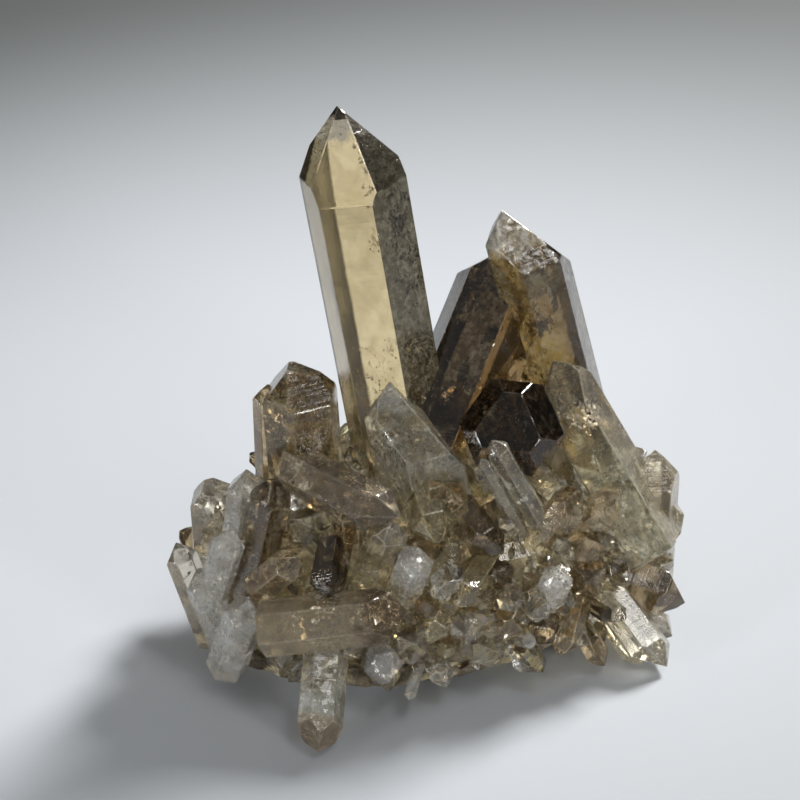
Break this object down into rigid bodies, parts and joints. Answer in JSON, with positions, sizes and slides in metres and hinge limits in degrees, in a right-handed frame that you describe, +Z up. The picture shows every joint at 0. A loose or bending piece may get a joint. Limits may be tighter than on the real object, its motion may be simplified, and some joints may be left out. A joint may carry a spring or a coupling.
{
  "type": "smoky quartz cluster",
  "caption": "Natural smoky quartz cluster: one tall point and stouter leaning points rise from a crust of small crystals on a thin piece of host rock that rests flat.",
  "frame": {"origin": "on the flat face of the rock that the cluster rests on, near the middle of that face", "axes": "+Z up, about along the tall point. -Y is the side the picture shows. +X is to that side's right"},
  "size_m": [0.1138, 0.0854, 0.1225],
  "materials": {
    "quartz": "clear smoky brown crystal, some faces frosted",
    "rock": "rough, granular"
  },
  "bodies": {
    "root": {"quartz_cluster": "quartz", "matrix": "rock"}
  },
  "joints": []
}
